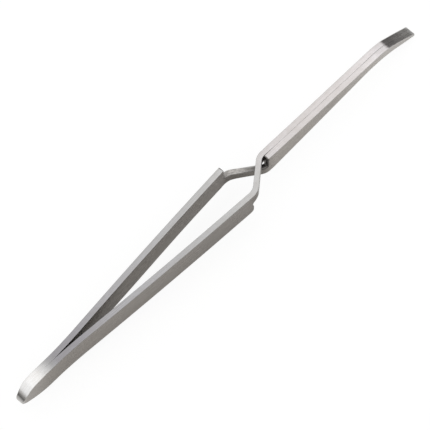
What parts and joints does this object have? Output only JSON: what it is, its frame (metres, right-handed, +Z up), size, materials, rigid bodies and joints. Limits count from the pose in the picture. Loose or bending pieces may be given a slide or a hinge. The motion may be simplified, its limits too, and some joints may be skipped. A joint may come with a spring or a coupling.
{
  "type": "cross-action tweezers",
  "caption": "Self-closing cross-action tweezers: spring-steel strips welded at the heel, with bowed handles, notched crossing necks and fine bent tips that open when the handles are squeezed.",
  "frame": {"origin": "bottom centre of the whole tool's bounding box at rest: midway between heel end and tips, on the plane between the two strips, level with the lowest point of the bent tips", "axes": "+X from the heel towards the tips, +Y towards the left handle, +Z up along the width of the strips; the tips bend down towards -Z"},
  "size_m": [0.165, 0.0136, 0.0115],
  "materials": {
    "strip_steel": "stainless spring steel, satin ground along its length, edges broken",
    "weld_steel": "stainless weld metal, ground flush and fine polished"
  },
  "bodies": {
    "heel": {"heel_weld": "weld_steel", "left_strip_heel": "strip_steel", "right_strip_heel": "strip_steel"},
    "left_arm": {"left_arm": "strip_steel"},
    "right_arm": {"right_arm": "strip_steel"}
  },
  "joints": [
    {"name": "left_flex", "type": "hinge", "parent": "heel", "child": "left_arm", "pos_m": [-0.0625, 0.00096, 0.007], "axis": [0, 0, -1], "range_deg": [0, 3.9], "stiffness_Nm_per_rad": 1.2, "springref_deg": -1.15},
    {"name": "right_flex", "type": "hinge", "parent": "heel", "child": "right_arm", "pos_m": [-0.0625, -0.00096, 0.007], "axis": [0, 0, 1], "range_deg": [0, 3.9], "stiffness_Nm_per_rad": 1.2, "springref_deg": -1.15}
  ],
  "couplings": [
    {"joint": "right_flex", "follows": "left_flex", "ratio": 1}
  ]
}
